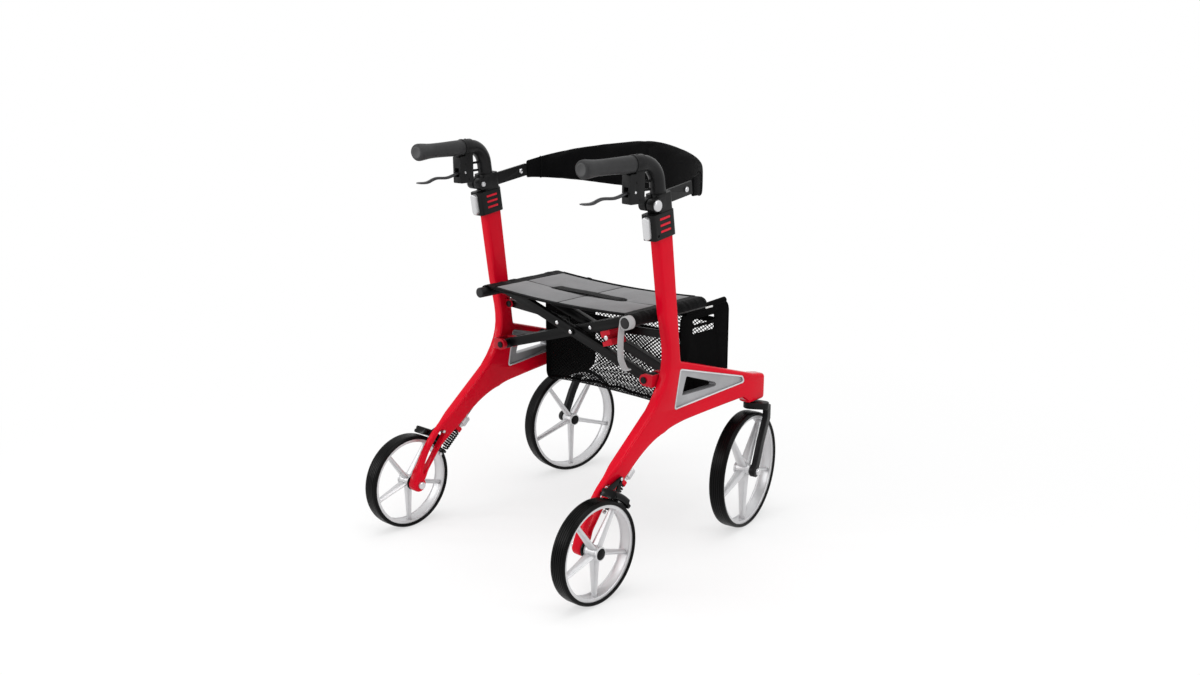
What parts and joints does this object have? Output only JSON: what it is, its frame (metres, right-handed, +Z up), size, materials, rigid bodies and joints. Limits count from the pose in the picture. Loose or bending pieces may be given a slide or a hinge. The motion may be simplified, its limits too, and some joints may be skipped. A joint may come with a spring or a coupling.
{
  "type": "rollator",
  "caption": "Folding rollator walking frame with swivelling front wheels, a seat, a padded backrest belt, a storage bag, height-adjustable handles and hand brakes.",
  "frame": {"origin": "on the floor, under the middle of the rollator's box", "axes": "+X to the user's right, +Y forward along the way of travel, +Z up"},
  "size_m": [0.5924, 0.7226, 0.827],
  "materials": {
    "red_paint": "gloss",
    "silver_trim": "satin",
    "black_plastic": "satin",
    "black_tube": "satin",
    "grip_rubber": "matte",
    "lever_metal": "satin",
    "bright_steel": "brushed",
    "rim_silver": "satin",
    "tyre": "matte",
    "red_plastic": "gloss",
    "spring_steel": "black",
    "strap_webbing": "woven",
    "seat_cloth": "woven",
    "belt_cloth": "woven",
    "bag_cloth": "woven",
    "bag_mesh": "open mesh"
  },
  "bodies": {
    "frame_r": {"side_frame_r": "red_paint", "window_bezel_r": "silver_trim", "lock_housing_r": "black_plastic", "cable_adjuster_r": "bright_steel", "brake_spring_r": "spring_steel", "pivot_bracket_r": "red_plastic", "pivot_bolts_r": "bright_steel", "rear_axle_r": "bright_steel", "bag_panel_r": "bag_cloth", "bag_sling": "bag_mesh"},
    "handle_r": {"handle_stem_r": "black_tube", "grip_r": "grip_rubber", "brake_housing_r": "black_plastic", "lever_pin_r": "bright_steel", "backrest_clamp_r": "black_plastic", "clamp_bolts_r": "bright_steel", "backrest_pad": "belt_cloth"},
    "lever_r": {"brake_lever_r": "lever_metal"},
    "button_r": {"height_button_r": "rim_silver"},
    "brake_r": {"brake_arm_r": "black_plastic"},
    "rear_wheel_r": {"rear_rim_r": "rim_silver", "rear_tyre_r": "tyre"},
    "caster_r": {"front_fork_r": "black_plastic", "front_axle_r": "bright_steel"},
    "front_wheel_r": {"front_rim_r": "rim_silver", "front_tyre_r": "tyre"},
    "link_r": {"side_link_r": "black_tube"},
    "frame_l": {"side_frame_l": "red_paint", "window_bezel_l": "silver_trim", "lock_housing_l": "black_plastic", "cable_adjuster_l": "bright_steel", "brake_spring_l": "spring_steel", "pivot_bracket_l": "red_plastic", "pivot_bolts_l": "bright_steel", "rear_axle_l": "bright_steel", "bag_panel_l": "bag_cloth"},
    "handle_l": {"handle_stem_l": "black_tube", "grip_l": "grip_rubber", "brake_housing_l": "black_plastic", "lever_pin_l": "bright_steel", "backrest_clamp_l": "black_plastic", "clamp_bolts_l": "bright_steel"},
    "lever_l": {"brake_lever_l": "lever_metal"},
    "button_l": {"height_button_l": "rim_silver"},
    "brake_l": {"brake_arm_l": "black_plastic"},
    "rear_wheel_l": {"rear_rim_l": "rim_silver", "rear_tyre_l": "tyre"},
    "caster_l": {"front_fork_l": "black_plastic", "front_axle_l": "bright_steel"},
    "front_wheel_l": {"front_rim_l": "rim_silver", "front_tyre_l": "tyre"},
    "link_l": {"side_link_l": "black_tube"},
    "cross_a": {"cross_bars_a": "black_tube", "centre_bolts": "bright_steel"},
    "cross_b": {"cross_bars_b": "black_tube", "fold_latch": "red_plastic"},
    "seat_l": {"seat_rail_l": "black_tube", "seat_fabric": "seat_cloth"},
    "seat_r": {"seat_rail_r": "black_tube", "fold_strap": "strap_webbing"}
  },
  "joints": [
    {"name": "fold", "type": "hinge", "parent": "frame_r", "child": "cross_a", "pos_m": [0.2075, 0, 0.375], "axis": [0, 1, 0], "range_deg": [0, 58], "deforming": ["seat_fabric", "backrest_pad", "bag_sling"]},
    {"name": "bars_cross", "type": "hinge", "parent": "cross_a", "child": "cross_b", "pos_m": [0, 0, 0.438], "axis": [0, 1, 0], "range_deg": [-116, 0]},
    {"name": "fold_left", "type": "hinge", "parent": "cross_b", "child": "frame_l", "pos_m": [-0.2075, 0, 0.375], "axis": [0, 1, 0], "range_deg": [0, 58]},
    {"name": "rail_left", "type": "hinge", "parent": "cross_a", "child": "seat_l", "pos_m": [-0.2075, 0, 0.501], "axis": [0, 1, 0], "range_deg": [-58, 0]},
    {"name": "rail_right", "type": "hinge", "parent": "cross_b", "child": "seat_r", "pos_m": [0.2075, 0, 0.501], "axis": [0, 1, 0], "range_deg": [0, 58]},
    {"name": "link_right", "type": "hinge", "parent": "frame_r", "child": "link_r", "pos_m": [0.2165, 0, 0.46], "axis": [0, 1, 0], "range_deg": [0, 75.12]},
    {"name": "link_left", "type": "hinge", "parent": "frame_l", "child": "link_l", "pos_m": [-0.2165, 0, 0.46], "axis": [0, 1, 0], "range_deg": [-75.12, 0]},
    {"name": "handle_r", "type": "slide", "parent": "frame_r", "child": "handle_r", "axis": [0, -0.1444, 0.9895], "range_m": [0, 0.11]},
    {"name": "button_r", "type": "slide", "parent": "frame_r", "child": "button_r", "axis": [0, 0.9895, 0.1444], "range_m": [0, 0.0025], "stiffness_N_per_m": 800},
    {"name": "lever_r", "type": "hinge", "parent": "handle_r", "child": "lever_r", "pos_m": [0.23619, -0.11347, 0.75798], "axis": [-0.9976, 0.069, 0.0101], "range_deg": [0, 14], "stiffness_Nm_per_rad": 3},
    {"name": "brake_r", "type": "hinge", "parent": "frame_r", "child": "brake_r", "pos_m": [0.254, -0.16156, 0.21411], "axis": [1, 0, 0], "range_deg": [0, 2.5], "deforming": ["brake_spring_r"]},
    {"name": "rear_wheel_r", "type": "hinge", "parent": "frame_r", "child": "rear_wheel_r", "pos_m": [0.27575, -0.25892, 0.1016], "axis": [1, 0, 0], "continuous": true},
    {"name": "caster_r", "type": "hinge", "parent": "frame_r", "child": "caster_r", "pos_m": [0.255, 0.26274, 0.276], "axis": [0, 0, 1], "continuous": true},
    {"name": "front_wheel_r", "type": "hinge", "parent": "caster_r", "child": "front_wheel_r", "pos_m": [0.25938, 0.23508, 0.127], "axis": [0.9877, 0.1564, 0], "continuous": true},
    {"name": "handle_l", "type": "slide", "parent": "frame_l", "child": "handle_l", "axis": [0, -0.1444, 0.9895], "range_m": [0, 0.11]},
    {"name": "button_l", "type": "slide", "parent": "frame_l", "child": "button_l", "axis": [0, 0.9895, 0.1444], "range_m": [0, 0.0025], "stiffness_N_per_m": 800},
    {"name": "lever_l", "type": "hinge", "parent": "handle_l", "child": "lever_l", "pos_m": [-0.23619, -0.11347, 0.75798], "axis": [-0.9976, -0.069, -0.0101], "range_deg": [0, 14], "stiffness_Nm_per_rad": 3},
    {"name": "brake_l", "type": "hinge", "parent": "frame_l", "child": "brake_l", "pos_m": [-0.254, -0.16156, 0.21411], "axis": [1, 0, 0], "range_deg": [0, 2.5], "deforming": ["brake_spring_l"]},
    {"name": "rear_wheel_l", "type": "hinge", "parent": "frame_l", "child": "rear_wheel_l", "pos_m": [-0.27575, -0.25892, 0.1016], "axis": [1, 0, 0], "continuous": true},
    {"name": "caster_l", "type": "hinge", "parent": "frame_l", "child": "caster_l", "pos_m": [-0.255, 0.26274, 0.276], "axis": [0, 0, 1], "continuous": true},
    {"name": "front_wheel_l", "type": "hinge", "parent": "caster_l", "child": "front_wheel_l", "pos_m": [-0.25938, 0.23508, 0.127], "axis": [0.9877, -0.1564, 0], "continuous": true}
  ],
  "couplings": [
    {"joint": "bars_cross", "follows": "fold", "ratio": -2},
    {"joint": "fold_left", "follows": "fold", "ratio": 1},
    {"joint": "rail_left", "follows": "fold", "ratio": -1},
    {"joint": "rail_right", "follows": "fold", "ratio": 1},
    {"joint": "link_right", "follows": "fold", "ratio": 1.2935},
    {"joint": "link_left", "follows": "fold", "ratio": -1.2935},
    {"joint": "brake_r", "follows": "lever_r", "ratio": 0.17857},
    {"joint": "brake_l", "follows": "lever_l", "ratio": 0.17857},
    {"joint": "handle_l", "follows": "handle_r", "ratio": 1}
  ]
}
